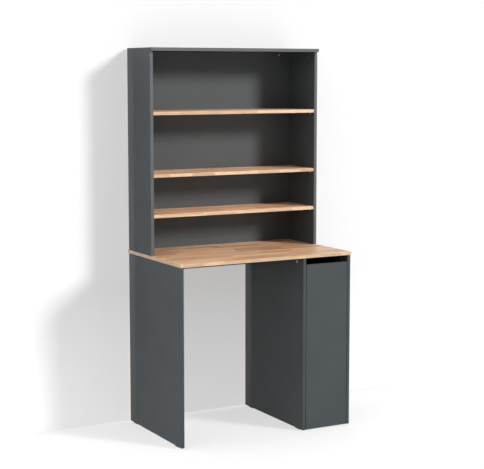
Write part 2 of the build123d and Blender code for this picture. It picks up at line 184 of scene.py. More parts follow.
# Block-board print: its grain
GRAIN_SHIFT = 40.0
RING_PITCH = 5.5 * MM
RING_WARP = 26.0
OAK_WARP = ((2.2, 14.0, 1.0), 3.0, 0.55)
OAK_FIBRE = ((5.0, 380.0, 1.0), 4.0, 0.62)
OAK_PATCH = ((14.0, 34.0, 1.0), 2.0)
OAK_STREAK = ((1.6, 75.0, 1.0), 2.0)
OAK_STREAK_RANGE = (0.58, 0.74)
OAK_PORE = ((70.0, 2400.0, 1.0), 1.0)
OAK_PORE_RANGE = (0.62, 0.74)
FIBRE_SHARE = 0.45
RING_SHARE = 0.07
PATCH_SHARE = 0.50
FIBRE_RELIEF_SHARE = 0.5
PORE_RELIEF_SHARE = -0.8
OAK_RELIEF = (0.05 * MM, 0.5)

# Block-board print: its colours, and the share and colour of each mark
OAK_LIGHT = (0.730, 0.485, 0.300, 1)
OAK_DEEP = (0.390, 0.205, 0.105, 1)
OAK_TONE_RANGE = (0.09, 0.79)
TOP_CONTRAST = 0.64
BAND_CONTRAST = 0.42
WORKTOP_FACE_TONE = (1.0, 1.0, 1.0)
WORKTOP_BAND_TONE = (0.72, 0.80, 0.88)
# The shelves' faces are painted lighter as painted light, standing for the brighter light inside the hutch
SHELF_FACE_PAINTED_LIGHT = (1.20, 1.18, 1.15)
SHELF_BAND_TONE = (0.80, 0.89, 1.0)
BAND_END_TONE = (0.90, 0.92, 0.97)
PLAIN_TONE = (1.0, 1.0, 1.0, 1)
WARM_TONE = (1.0, 0.93, 0.84, 1)
WARM_SHARE = 0.35
OAK_STREAK_MARK = (0.42, (0.27, 0.135, 0.065, 1))
OAK_PORE_MARK = (0.45, (0.20, 0.10, 0.05, 1))
OAK_JOINT_MARK = (0.55, (0.24, 0.12, 0.06, 1))
OAK_SEAM_MARK = (0.55, (0.30, 0.17, 0.09, 1))
OAK_ROUGHNESS = (0.38, 0.47)

# Thin fibreboard, whose graphite front is painted lighter as painted light
BACK_PAINTED_LIGHT = (1.53, 1.38, 1.30)
BARE_DEEP = (0.150, 0.083, 0.042, 1)
BARE_LIGHT = (0.300, 0.180, 0.098, 1)
BARE_FLUFF = (160.0, 5.0, 0.7)
BARE_FLUFF_SHARE = 0.7
BARE_CLOUD = (7.0, 3.0)
LACQUER_ROUGHNESS = 0.46
BARE_ROUGHNESS = 0.84
SIEVE = (700.0, 2.0)
BARE_SIEVE = 4.0
SIEVE_RELIEF = (0.05 * MM, 0.4)

# Steel: the colour and roughness of each kind, and the streaks of rolling and plating
RUNNER_ZINC = ((0.72, 0.74, 0.76), 0.33)
FITTING_ZINC = ((0.70, 0.71, 0.70), 0.30)
CAM_ZINC = ((0.60, 0.61, 0.60), 0.36)
SCREW_ZINC = ((0.66, 0.67, 0.67), 0.28)
CAGE_ZINC = ((0.60, 0.61, 0.62), 0.34)
STREAK_ACROSS = 1040.0
STREAK_ALONG = 12.0
STREAK_DETAIL = (3.0, 0.6)
STREAK_SHARE = 0.6
STREAK_RELIEF = (0.02 * MM, 0.4)
STREAK_POLISH = 0.06
STREAK_DULLNESS = 0.08
ZINC_CLOUD = (45.0, 3.0)
ZINC_DEEP_TONE = 0.78
BALL_MARKS = (800.0, 3.0, 0.6)
BALL_DEEP = (0.66, 0.67, 0.69, 1)
BALL_LIGHT = (0.80, 0.81, 0.82, 1)
BALL_ROUGHNESS = (0.07, 0.16)

# Bare beech
BEECH_DEEP = (0.50, 0.31, 0.17, 1)
BEECH_LIGHT = (0.70, 0.50, 0.32, 1)
BEECH_FIBRE = ((120.0, 900.0, 120.0), 3.0)
BEECH_FLECK = ((400.0, 1500.0, 400.0), 2.0)
BEECH_FLECK_RANGE = (0.62, 0.72)
BEECH_FLECK_MARK = (0.6, (0.28, 0.14, 0.07, 1))
BEECH_ROUGHNESS = (0.55, 0.70)
BEECH_RELIEF = (0.1 * MM, 0.4)

# Moulded and lacquered fittings: colour, roughness, and where it is their own the grain's scale and height
GLIDE_PLASTIC = ((0.045, 0.045, 0.047), 0.45)
CAP_PLASTIC = ((0.043, 0.048, 0.051), 0.42)
BUFFER_RUBBER = ((0.12, 0.12, 0.125), 0.5, 1200.0)
BRACKET_LACQUER = ((0.018, 0.018, 0.019), 0.38, 500.0, 0.03 * MM)
MOULD_GRAIN = 900.0
MOULD_GRAIN_DETAIL = (3.0, 0.6)
MOULD_GRAIN_SHARE = 0.5
MOULD_HEIGHT = 0.06 * MM
MOULD_RELIEF_STRENGTH = 0.5
MOULD_CLOUD = (60.0, 2.0)
MOULD_DEEP_TONE = 0.8
MOULD_POLISH = 0.05
MOULD_DULLNESS = 0.07

# Rounded edges of small fittings
FITTING_ROUNDING = 0.35 * MM
GLIDE_ROUNDING = 0.8 * MM
ROUNDING_STEPS = 2
ROUNDED_ANGLE = math.radians(50)

# Turned pieces
WELD = 1e-6
PLACE_DIGITS = 5
TURN_STEPS = 40
CREASE = 40
DOME_CREASE = 60
NO_CREASE = 180

# Cast cams, with the shares of their radius that the cross and the arrow take
CAM_BREAK = 0.5 * MM
CAM_GROOVE_INSET = 1.0 * MM
CAM_GROOVE_WIDTH = 0.7 * MM
CAM_GROOVE_SLOPE = 0.2 * MM
CAM_GROOVE_DEPTH = 0.35 * MM
CAM_CROSS_SHARES = (0.40, 0.075)
CAM_CROSS_DEPTH_SHARE = 0.30
CAM_CROSS_TAPER = 0.75
CAM_ARROW_SHARES = (0.52, 0.70, 0.12)
CAM_ARROW_DEPTH_SHARE = 0.05
CAM_ARROW_TAPER = 1.0

# Press-in caps: a brim wider than the cam, with a softened rim and a low dome
CAP_BRIM = 1.0 * MM
CAP_RIM_HEIGHT = 0.3 * MM
CAP_SHOULDER_INSET = 0.25 * MM
CAP_SHOULDER_HEIGHT = 0.6 * MM
CAP_DOME_INSET = 0.6 * MM
CAP_DOME_BASE = 0.75 * MM
CAP_CROWN = 1.1 * MM
CAP_DOME_STEPS = 6

# Pan-head screws: the tip in shares of the shank's radius, the head in shares of its own radius and height
PAN_HEIGHT = 2.0 * MM
PAN_SHARES = ((1.0, 1.0), (1.0, 0.7), (0.94, 0.4), (0.8, 0.15), (0.62, 0.0))
PAN_CROSS_SHARES = (0.46, 0.10)
PAN_CROSS_DEPTH_SHARE = 0.55
PAN_CROSS_TAPER = 0.6
SHANK_SHARE = 0.5
TIP_RADIUS_SHARE = 0.3
TIP_LENGTH_SHARE = 2.0

# Domed buffers
BUFFER_WALL_SHARE = 0.3
BUFFER_DOME_STEPS = 7

# Ball rows
OUTER_BALL_RADIUS = 2.0 * MM
INNER_BALL_RADIUS = 1.75 * MM
BALLS_PER_ROW = 11
BALL_PLAY = 0.1 * MM
BALL_DETAIL = 3


class Tree:
    """Short calls that add nodes to one shader tree."""

    def __init__(self, tree):
        self.tree = tree

    def feed(self, socket, value):
        """Links a socket, or sets its number."""
        if isinstance(value, bpy.types.NodeSocket):
            self.tree.links.new(value, socket)
        else:
            socket.default_value = value

    def node(self, kind, feeds, **settings):
        """A shader node with its inputs and settings."""
        made = self.tree.nodes.new("ShaderNode" + kind)
        for key, value in settings.items():
            setattr(made, key, value)
        for key, value in feeds.items():
            self.feed(made.inputs[key], value)
        return made

    def math(self, operation, first, second=0.0):
        return self.node("Math", {0: first, 1: second}, operation=operation).outputs[0]

    def add(self, first, second):
        return self.math("ADD", first, second)

    def times(self, first, second):
        return self.math("MULTIPLY", first, second)

    def larger(self, first, second):
        return self.math("MAXIMUM", first, second)

    def less(self, first, second):
        return self.math("SUBTRACT", first, second)

    def apart(self, first, second):
        """How far apart two numbers are."""
        return self.math("ABSOLUTE", self.less(first, second))

    def choose(self, mask, off_value, on_value):
        """One value where a mask is nought, and another where it is one."""
        return self.add(self.times(self.less(1.0, mask), off_value), self.times(mask, on_value))

    def blend(self, first, second, share):
        """Two values together, with the share that the first has."""
        return self.add(self.times(first, share), self.times(second, 1.0 - share))

    def spread(self, value, low, high, to_low=0.0, to_high=1.0):
        """A value carried from one range into another."""
        feeds = {"Value": value, "From Min": low, "From Max": high, "To Min": to_low, "To Max": to_high}
        return self.node("MapRange", feeds).outputs[0]

    def vector(self, x, y, z):
        return self.node("CombineXYZ", {0: x, 1: y, 2: z}).outputs[0]

    def split(self, vector):
        return self.node("SeparateXYZ", {0: vector}).outputs

    def moved(self, vector, shift):
        return self.node("VectorMath", {0: vector, 1: shift}, operation="ADD").outputs[0]

    def scaled(self, vector, factors):
        """A place or a colour, with each of its three numbers times its own factor."""
        return self.node("VectorMath", {0: vector, 1: factors}, operation="MULTIPLY").outputs[0]

    def noise(self, vector, scale, detail, roughness=0.5):
        feeds = {"Vector": vector, "Scale": scale, "Detail": detail, "Roughness": roughness}
        return self.node("TexNoise", feeds).outputs[0]

    def drawn_noise(self, vector, stretch, detail, roughness=0.5):
        """Noise that is drawn out along the axes with the smaller stretch."""
        return self.noise(self.scaled(vector, stretch), 1.0, detail, roughness)

    def random(self, vector):
        """A steady random number for each whole place."""
        return self.node("TexWhiteNoise", {"Vector": vector}).outputs["Value"]

    def mix(self, factor, first, second):
        """Two colours mixed."""
        feeds = dict(zip(MIX_INPUTS, (factor, first, second)))
        return self.node("Mix", feeds, data_type="RGBA").outputs[MIX_OUTPUT]

    def marked(self, colour, mask, share, mark):
        """A colour with marks of another laid over it."""
        return self.mix(self.times(mask, share), colour, mark)


class Finish(Tree):
    """One material's nodes, with its shader and the place and facing of the point that is shaded."""

    def __init__(self, name, constants=None):
        self.material = bpy.data.materials.new(name)
        self.material.use_nodes = True
        super().__init__(self.material.node_tree)
        self.shader = self.tree.nodes["Principled BSDF"]
        for socket, value in (constants or {}).items():
            self.set(socket, value)
        coordinates = self.node("TexCoord", {}).outputs
        self.place = coordinates["Object"]
        self.axes = self.split(self.place)
        self.facing = self.split(coordinates["Normal"])

    def set(self, socket, value):
        self.feed(self.shader.inputs[socket], value)

    def toward(self, axis, sign, limit=FACE_AND_CHAMFERS):
        """One where the surface looks along an axis, to its plus end, its minus end or either."""
        along = self.facing[axis]
        if sign == EITHER_WAY:
            return self.math("GREATER_THAN", self.math("ABSOLUTE", along), limit)
        return self.math("GREATER_THAN", self.times(along, sign), limit)

    def bump(self, height, distance, strength):
        """Relief added to whatever relief the shader has already."""
        feeds = {"Height": height, "Distance": distance, "Strength": strength}
        before = self.shader.inputs["Normal"].links
        if before:
            feeds["Normal"] = before[0].from_socket
        self.set("Normal", self.node("Bump", feeds).outputs[0])


# Faced boards

def band_seam(finish, name):
    """The fine line on a board's large faces where its edge band meets the facing."""
    low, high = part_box(name)
    thin = min((X, Y, Z), key=lambda axis: high[axis] - low[axis])
    insets = []
    for axis in (X, Y, Z):
        if axis != thin:
            from_low = finish.less(finish.axes[axis], low[axis])
            from_high = finish.less(high[axis], finish.axes[axis])
            insets.append(finish.math("MINIMUM", from_low, from_high))
    inset = finish.math("MINIMUM", *insets)
    line = finish.spread(finish.apart(inset, BAND_THICKNESS), 0.0, BAND_SEAM, 1.0, 0.0)
    return finish.times(line, finish.toward(thin, EITHER_WAY))


def chipboard(finish):
    """Colour and relief of a raw edge of pressed chips."""
    feeds = {"Vector": finish.scaled(finish.place, CHIP_STRETCH), "Scale": CHIP_SCALE}
    chips = finish.node("TexVoronoi", feeds).outputs
    tone = finish.node("SeparateColor", {0: chips["Color"]}).outputs[0]
    dark = finish.spread(finish.noise(finish.place, *CHIP_SPECKS), *CHIP_SPECK_RANGE)
    return finish.mix(dark, finish.mix(tone, CHIP_DEEP, CHIP_LIGHT), CHIP_DARK), chips["Distance"]


def set_board(finish, name, colour, rough):
    """Sets a faced board's colour and roughness, with raw chipboard on the edges that have no band."""
    masks = []
    if name in RAW_REAR:
        masks.append(finish.toward(Y, 1, FACE_ALONE))
    if name in RAW_UNDERSIDE:
        masks.append(finish.toward(Z, -1, FACE_ALONE))
    if masks:
        raw = finish.larger(masks[0], masks[-1])
        chips, relief = chipboard(finish)
        colour = finish.mix(raw, colour, chips)
        rough = finish.larger(rough, finish.times(raw, CHIP_ROUGHNESS))
        finish.bump(finish.times(relief, raw), *CHIP_RELIEF)
    finish.set("Base Color", colour)
    finish.set("Roughness", rough)


def graphite_colour(finish):
    """Dark grey facing with a faint cloudiness and a fine pearl in it."""
    cloud = finish.noise(finish.place, *GRAPHITE_CLOUD)
    fleck = finish.noise(finish.place, *GRAPHITE_FLECK)
    tone = finish.spread(finish.blend(cloud, fleck, GRAPHITE_CLOUD_SHARE), *TONE_RANGE)
    return finish.mix(tone, GRAPHITE_DEEP, GRAPHITE)


def graphite_board(name):
    """Faced board in matt graphite: pearl relief, duller upper faces, banded edges and raw hidden edges; on
    the hutch boards, inner faces and front edges are painted lighter as painted light.
    """
    finish = Finish("graphite_" + name, {"Specular IOR Level": GRAPHITE_SHINE})
    colour = graphite_colour(finish)
    # Painted light: a hutch board's inner face is lightened to stand for the fill light that reaches into the
    # hutch
    if name in HUTCH_INNER_SIDES:
        band = finish.scaled(colour, HUTCH_BAND_PAINTED_LIGHT)
        inner = finish.scaled(colour, HUTCH_INNER_PAINTED_LIGHT)
        colour = finish.mix(finish.toward(*HUTCH_INNER_SIDES[name]), colour, inner)
        # Painted light: the front edges are lighter for the light that falls on them, not for a lighter band
        colour = finish.mix(finish.toward(Y, -1), colour, band)
    colour = finish.marked(colour, band_seam(finish, name), GRAPHITE_SEAM_SHARE, GRAPHITE_SEAM)
    smudge = finish.noise(finish.place, *GRAPHITE_SMUDGE)
    rough = finish.spread(smudge, *ROUGH_RANGE, *GRAPHITE_ROUGHNESS)
    rough = finish.larger(rough, finish.times(finish.toward(Z, 1, FACE_ALONE), UPPER_ROUGHNESS))
    finish.bump(finish.noise(finish.place, *GRAPHITE_PEARL), *GRAPHITE_RELIEF)
    set_board(finish, name, colour, rough)
    return finish.material


# Block-board print

def stave_layout(finish, along, across, on_band, shift):
    """The lane and the run of a point, counted in staves, and two random numbers of its own stave."""
    lane = finish.math("DIVIDE", finish.add(across, shift), STAVE_WIDTH)
    row = finish.math("FLOOR", lane)
    row_chance = finish.random(finish.vector(row, shift, ROW_SEED))
    length = finish.spread(row_chance, 0.0, 1.0, STAVE_SHORT, STAVE_SHORT + STAVE_SPREAD)
    length = finish.times(length, finish.choose(on_band, 1.0, BAND_LENGTH_SHARE))
    run = finish.add(finish.math("DIVIDE", along, length), finish.times(row_chance, RUN_SHIFT))
    stave = finish.math("FLOOR", run)
    chance = finish.random(finish.vector(row, stave, shift))
    other = finish.random(finish.vector(stave, row, shift + OTHER_SEED))
    return lane, run, chance, other


def stave_joints(finish, lane, run, on_top):
    """The fine lines between staves."""
    side = finish.apart(finish.math("FRACT", lane), HALF)
    end = finish.apart(finish.math("FRACT", run), HALF)
    side_joint = finish.spread(side, HALF - STAVE_JOINT / STAVE_WIDTH, HALF)
    end_joint = finish.spread(end, HALF - STAVE_JOINT / STAVE_SHORT, HALF)
    return finish.larger(finish.times(side_joint, on_top), end_joint)


def oak_grain(finish, along, across, chance, other):
    """A stave's own slow rings, long fibres, soft patches, dark streaks and short pores."""
    own = finish.vector(finish.times(other, GRAIN_SHIFT), finish.times(chance, GRAIN_SHIFT), chance)
    grain = finish.moved(finish.vector(along, across, chance), own)
    turns = finish.times(finish.math("DIVIDE", across, RING_PITCH), math.tau)
    warp = finish.times(finish.drawn_noise(grain, *OAK_WARP), RING_WARP)
    ring = finish.math("SINE", finish.add(turns, warp))
    fibre = finish.drawn_noise(grain, *OAK_FIBRE)
    patch = finish.drawn_noise(grain, *OAK_PATCH)
    streak = finish.spread(finish.drawn_noise(grain, *OAK_STREAK), *OAK_STREAK_RANGE)
    pore = finish.spread(finish.drawn_noise(grain, *OAK_PORE), *OAK_PORE_RANGE)
    return ring, fibre, patch, streak, pore


def oak_board(name):
    """Faced board printed as oak staves glued side by side, with grain along X."""
    finish = Finish("oak_" + name)
    on_end = finish.toward(X, EITHER_WAY)
    on_top = finish.toward(Z, EITHER_WAY)
    on_band = finish.less(1.0, on_top)
    along = finish.choose(on_end, finish.axes[X], finish.axes[Y])
    across = finish.choose(on_top, finish.axes[Z], finish.axes[Y])
    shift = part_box(name)[0][Z] * PRINT_SHIFT
    lane, run, chance, other = stave_layout(finish, along, across, on_band, shift)
    ring, fibre, patch, streak, pore = oak_grain(finish, along, across, chance, other)

    # Tone of the stave and its grain
    contrast = finish.choose(on_band, TOP_CONTRAST, BAND_CONTRAST)
    level = finish.times(finish.less(chance, HALF), contrast)
    for value, share in ((fibre, FIBRE_SHARE), (ring, RING_SHARE), (patch, PATCH_SHARE)):
        level = finish.add(level, finish.times(value, share))
    colour = finish.mix(finish.spread(level, *OAK_TONE_RANGE), OAK_DEEP, OAK_LIGHT)

    # Tone of faces and bands, with the shelves' faces painted lighter as painted light
    on_worktop = name == "worktop"
    band = finish.scaled(colour, WORKTOP_BAND_TONE if on_worktop else SHELF_BAND_TONE)
    band = finish.mix(on_end, band, finish.scaled(band, BAND_END_TONE))
    face = finish.scaled(colour, WORKTOP_FACE_TONE if on_worktop else SHELF_FACE_PAINTED_LIGHT)
    colour = finish.mix(on_band, face, band)
    colour = finish.scaled(colour, finish.marked(PLAIN_TONE, other, WARM_SHARE, WARM_TONE))

    # Marks
    joint = stave_joints(finish, lane, run, on_top)
    colour = finish.marked(colour, streak, *OAK_STREAK_MARK)
    colour = finish.marked(colour, pore, *OAK_PORE_MARK)
    colour = finish.marked(colour, joint, *OAK_JOINT_MARK)
    colour = finish.marked(colour, band_seam(finish, name), *OAK_SEAM_MARK)

    relief = finish.add(finish.times(fibre, FIBRE_RELIEF_SHARE), finish.times(pore, PORE_RELIEF_SHARE))
    finish.bump(relief, *OAK_RELIEF)
    set_board(finish, name, colour, finish.spread(fibre, *ROUGH_RANGE, *OAK_ROUGHNESS))
    return finish.material


# Other finishes

def thin_back(name):
    """Hard fibreboard, lacquered graphite on its front, painted lighter there as painted light, and bare
    brown on its rear.
    """
    finish = Finish("fibreboard_" + name, {"Specular IOR Level": GRAPHITE_SHINE})
    rear = finish.toward(Y, 1)
    fluff = finish.noise(finish.place, *BARE_FLUFF)
    cloud = finish.noise(finish.place, *BARE_CLOUD)
    tone = finish.spread(finish.blend(fluff, cloud, BARE_FLUFF_SHARE), *TONE_RANGE)
    # Painted light: the graphite of the front is lightened to stand for the light on the hutch's back
    lacquer_and_painted_light = finish.scaled(graphite_colour(finish), BACK_PAINTED_LIGHT)
    finish.set("Base Color", finish.mix(rear, lacquer_and_painted_light, finish.mix(tone, BARE_DEEP, BARE_LIGHT)))
    finish.set("Roughness", finish.choose(rear, LACQUER_ROUGHNESS, BARE_ROUGHNESS))
    sieve = finish.noise(finish.place, *SIEVE)
    finish.bump(finish.times(sieve, finish.choose(rear, 1.0, BARE_SIEVE)), *SIEVE_RELIEF)
    return finish.material


def plated_steel(name, colour, roughness, streak_axis):
    """Zinc-plated steel with fine streaks along an axis and a cloudy passivation."""
    finish = Finish(name, {"Metallic": 1.0})
    stretch = [STREAK_ALONG if axis == streak_axis else STREAK_ACROSS for axis in (X, Y, Z)]
    streaks = finish.drawn_noise(finish.place, stretch, *STREAK_DETAIL)
    cloud = finish.noise(finish.place, *ZINC_CLOUD)
    tone = finish.spread(finish.blend(streaks, cloud, STREAK_SHARE), *TONE_RANGE)
    deep = [channel * ZINC_DEEP_TONE for channel in colour]
    finish.set("Base Color", finish.mix(tone, (*deep, 1), (*colour, 1)))
    dulled = (roughness - STREAK_POLISH, roughness + STREAK_DULLNESS)
    finish.set("Roughness", finish.spread(streaks, *ROUGH_RANGE, *dulled))
    finish.bump(streaks, *STREAK_RELIEF)
    return finish.material


def polished_steel(name):
    """Ground and polished ball steel with a trace of handling marks."""
    finish = Finish(name, {"Metallic": 1.0})
    marks = finish.noise(finish.place, *BALL_MARKS)
    finish.set("Base Color", finish.mix(marks, BALL_DEEP, BALL_LIGHT))
    finish.set("Roughness", finish.spread(marks, *ROUGH_RANGE, *BALL_ROUGHNESS))
    return finish.material


def beech(name):
    """Bare beech with fine fibres and short dark flecks."""
    finish = Finish(name)
    fibre = finish.drawn_noise(finish.place, *BEECH_FIBRE)
    fleck = finish.spread(finish.drawn_noise(finish.place, *BEECH_FLECK), *BEECH_FLECK_RANGE)
    colour = finish.mix(fibre, BEECH_DEEP, BEECH_LIGHT)
    finish.set("Base Color", finish.marked(colour, fleck, *BEECH_FLECK_MARK))
    finish.set("Roughness", finish.spread(fibre, *ROUGH_RANGE, *BEECH_ROUGHNESS))
    finish.bump(fibre, *BEECH_RELIEF)
    return finish.material


def moulded(name, colour, roughness, grain=MOULD_GRAIN, height=MOULD_HEIGHT):
    """Moulded plastic, rubber or lacquer with a fine grain and slight unevenness of tone."""
    finish = Finish(name)
    sparks = finish.noise(finish.place, grain, *MOULD_GRAIN_DETAIL)
    cloud = finish.noise(finish.place, *MOULD_CLOUD)
    tone = finish.spread(finish.blend(sparks, cloud, MOULD_GRAIN_SHARE), *TONE_RANGE)
    deep = [channel * MOULD_DEEP_TONE for channel in colour]
    finish.set("Base Color", finish.mix(tone, (*deep, 1), (*colour, 1)))
    dulled = (roughness - MOULD_POLISH, roughness + MOULD_DULLNESS)
    finish.set("Roughness", finish.spread(sparks, *ROUGH_RANGE, *dulled))
    finish.bump(sparks, height, MOULD_RELIEF_STRENGTH)
    return finish.material


# Pieces that keep their CAD shape

def in_slot(slot):
    """The CAD nodes of one material slot."""
    return [name for name in nodes if slots[name] == slot]


def dress(names, material):
    """Gives CAD nodes their finish."""
    for name in names:
        for place in nodes[name].material_slots:
            place.material = material


def soften(names, width):
    """Rounds the sharp edges of small fittings."""
    for name in names:
        weld = nodes[name].modifiers.new("weld", "WELD")
        weld.merge_threshold = WELD
        bevel = nodes[name].modifiers.new("bevel", "BEVEL")
        bevel.width = width
        bevel.segments = ROUNDING_STEPS
        bevel.limit_method = "ANGLE"
        bevel.angle_limit = ROUNDED_ANGLE


def dress_nodes():
    """Finishes of the CAD nodes, each board with its own print and seams."""
    boards = {"graphite_board": graphite_board, "oak_board": oak_board, "thin_back": thin_back}
    for slot, board in boards.items():
        for name in in_slot(slot):
            dress([name], board(name))
    dress(in_slot("runner_steel"), plated_steel("runner_zinc", *RUNNER_ZINC, Y))
    dress(in_slot("zinc_fitting"), plated_steel("fitting_zinc", *FITTING_ZINC, X))
    dress(in_slot("beech_dowel"), beech("bare_beech"))
    dress(in_slot("glide_plastic"), moulded("glide_plastic", *GLIDE_PLASTIC))
    dress(in_slot("black_bracket"), moulded("bracket_lacquer", *BRACKET_LACQUER))
    soften(["shelf_supports", "wall_brackets"], FITTING_ROUNDING)
    soften(["floor_glides"], GLIDE_ROUNDING)


# Fuller shapes, on local axes with +Z out of the surface

def loose_parts(node):
    """The lowest and highest corner of each separate solid of a CAD node, in a fixed order."""
    mesh = bmesh.new()
    mesh.from_mesh(nodes[node].data)
    bmesh.ops.remove_doubles(mesh, verts=mesh.verts, dist=WELD)
    boxes = []
    left = set(mesh.verts)
    while left:
        rim = [left.pop()]
        points = []
        while rim:
            vert = rim.pop()
            points.append(vert.co.copy())
            near = {edge.other_vert(vert) for edge in vert.link_edges} & left
            left -= near
            rim.extend(near)
        boxes.append((Vector(map(min, *points)), Vector(map(max, *points))))
    mesh.free()
    return sorted(boxes, key=lambda box: tuple(round(value, PLACE_DIGITS) for value in box[0]))


def middle(box):
    """The centre of a box given by its lowest and highest corner."""
    low, high = box
    return (low + high) / 2


def circle(mesh, radius, height):
    """A circle of vertices about the local Z axis."""
    turns = [math.tau * step / TURN_STEPS for step in range(TURN_STEPS)]
    return [mesh.verts.new((radius * math.cos(turn), radius * math.sin(turn), height)) for turn in turns]


def join_loops(mesh, first, second):
    """A band of faces between two loops of as many vertices."""
    for step, vert in enumerate(first):
        after = (step + 1) % len(first)
        mesh.faces.new((vert, first[after], second[after], second[step]))


def flat_with_holes(mesh, rim, holes):
    """A flat face inside a rim of vertices, open at each hole."""
    verts = list(rim)
    for hole in holes:
        verts += hole
    loops = [[vert.co for vert in loop] for loop in (rim, *holes)]
    for corners in tessellate_polygon(loops):
        mesh.faces.new([verts[corner] for corner in corners])


def sink(mesh, outline, height, depth, taper):
    """The rim of a recess in a face, with its walls and floor made below it."""
    top = [mesh.verts.new((x, y, height)) for x, y in outline]
    floor = [mesh.verts.new((x * taper, y * taper, height - depth)) for x, y in outline]
    join_loops(mesh, top, floor)
    mesh.faces.new(floor)
    return top


def cross_outline(radius, reach_share, half_share):
    """A plus sign of four equal arms, in shares of a radius."""
    reach, half = radius * reach_share, radius * half_share
    points = []
    for quarter in range(4):
        turn = math.tau * quarter / 4
        for x, y in ((reach, -half), (reach, half), (half, half)):
            points.append((x * math.cos(turn) - y * math.sin(turn), x * math.sin(turn) + y * math.cos(turn)))
    return points


def arrow_outline(radius, near_share, far_share, half_share):
    """A small triangle that points along local +X, in shares of a radius."""
    near, far, half = radius * near_share, radius * far_share, radius * half_share
    return [(near, half), (near, -half), (far, 0.0)]


def dome(radius, base, top, steps):
    """A quarter-round profile from the rim at the base to near the axis at the top."""
    turns = [math.pi / 2 * step / steps for step in range(steps)]
    return [(radius * math.cos(turn), base + (top - base) * math.sin(turn)) for turn in turns]


def turned(profile, recesses=()):
    """A closed turned body from its profile of radius and height, with recesses sunk in its last face."""
    mesh = bmesh.new()
    circles = [circle(mesh, radius, height) for radius, height in profile]
    for low, high in zip(circles, circles[1:]):
        join_loops(mesh, low, high)
    mesh.faces.new(circles[0])
    face_height = profile[-1][1]
    holes = [sink(mesh, outline, face_height, depth, taper) for outline, depth, taper in recesses]
    flat_with_holes(mesh, circles[-1], holes)
    return mesh


def facing(centre, out, up):
    """The place of a piece with its local Z along out and its local X along up."""
    turn = Matrix((up, out.cross(up), out)).transposed().to_4x4()
    return Matrix.Translation(centre) @ turn


def add_pieces(name, shape, places, node, material, crease=CREASE):
    """One piece of like shapes that stands for a CAD node, on the node's body, with the finish it is given.
    """
    pattern = bpy.data.meshes.new(name)
    shape.to_mesh(pattern)
    whole = bmesh.new()
    for place in places:
        known = len(whole.verts)
        whole.from_mesh(pattern)
        bmesh.ops.transform(whole, matrix=place, verts=list(whole.verts)[known:])
    bmesh.ops.recalc_face_normals(whole, faces=whole.faces)
    whole.to_mesh(pattern)
    whole.free()
    shape.free()
    pattern.shade_smooth()
    pattern.set_sharp_from_angle(angle=math.radians(crease))
    pattern.materials.append(material)
    piece = bpy.data.objects.new(name, pattern)
    bpy.context.scene.collection.objects.link(piece)
    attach(piece, nodes[node]["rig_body"])
    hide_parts(node)


# Cams, caps, screws and buffers

def pocket_places(cams, boards, on_board):
    """The place of each cam on the side of its board that it shows on: at its own face, or at the board's."""
    places = []
    for cam in cams:
        centre = middle(cam)
        board = min((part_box(name) for name in boards), key=lambda box: abs(middle(box)[X] - centre[X]))
        side = 1 if centre[X] > middle(board)[X] else -1
        low, high = board if on_board else cam
        face = high[X] if side > 0 else low[X]
        places.append(facing(Vector((face, centre[Y], centre[Z])), Vector((side, 0, 0)), UP))
    return places


def make_cams():
    """Cast cams in the base, each with a turned groove, a cross recess and a small arrow to its bolt."""
    cams = loose_parts("base_cams")
    low, high = cams[0]
    depth, radius = high[X] - low[X], (high[Y] - low[Y]) / 2
    outer = radius - CAM_GROOVE_INSET
    inner = outer - CAM_GROOVE_WIDTH
    profile = [
        (radius - CAM_BREAK, -depth),
        (radius, CAM_BREAK - depth),
        (radius, -CAM_BREAK),
        (radius - CAM_BREAK, 0.0),
        (outer, 0.0),
        (outer - CAM_GROOVE_SLOPE, -CAM_GROOVE_DEPTH),
        (inner + CAM_GROOVE_SLOPE, -CAM_GROOVE_DEPTH),
        (inner, 0.0),
    ]
    cross = (cross_outline(radius, *CAM_CROSS_SHARES), radius * CAM_CROSS_DEPTH_SHARE, CAM_CROSS_TAPER)
    arrow = (arrow_outline(radius, *CAM_ARROW_SHARES), radius * CAM_ARROW_DEPTH_SHARE, CAM_ARROW_TAPER)
    places = pocket_places(cams, ("left_side_panel", "divider_panel", "right_side_panel"), False)
    zinc = plated_steel("cam_zinc", *CAM_ZINC, X)
    add_pieces("cast_cams", turned(profile, (cross, arrow)), places, "base_cams", zinc)


def make_caps():
    """Press-in caps over the hutch's cams."""
    cams = loose_parts("hutch_cams")
    low, high = cams[0]
    depth, radius = high[X] - low[X], (high[Y] - low[Y]) / 2
    brim = radius + CAP_BRIM
    profile = [
        (radius, -depth),
        (radius, 0.0),
        (brim, 0.0),
        (brim, CAP_RIM_HEIGHT),
        (brim - CAP_SHOULDER_INSET, CAP_SHOULDER_HEIGHT),
        *dome(brim - CAP_DOME_INSET, CAP_DOME_BASE, CAP_CROWN, CAP_DOME_STEPS),
    ]
    places = pocket_places(cams, ("hutch_left_side", "hutch_right_side"), True)
    plastic = moulded("cap_graphite", *CAP_PLASTIC)
    add_pieces("cam_caps", turned(profile), places, "hutch_cams", plastic)


def make_bracket_screws():
    """Pan-head screws of the wall brackets, with a cross recess."""
    screws = loose_parts("wall_bracket_screws")
    low, high = screws[0]
    radius, length = (high[X] - low[X]) / 2, high[Z] - low[Z]
    shank = radius * SHANK_SHARE
    profile = [
        (shank * TIP_RADIUS_SHARE, -length),
        (shank, shank * TIP_LENGTH_SHARE - length),
        (shank, -PAN_HEIGHT),
        *((radius * across, -PAN_HEIGHT * down) for across, down in PAN_SHARES),
    ]
    cross = (cross_outline(radius, *PAN_CROSS_SHARES), PAN_HEIGHT * PAN_CROSS_DEPTH_SHARE, PAN_CROSS_TAPER)
    places = []
    for low, high in screws:
        x, y, _ = middle((low, high))
        places.append(facing(Vector((x, y, low[Z])), -UP, Vector((1, 0, 0))))
    zinc = plated_steel("screw_zinc", *SCREW_ZINC, X)
    add_pieces("cross_head_screws", turned(profile, (cross,)), places, "wall_bracket_screws", zinc)


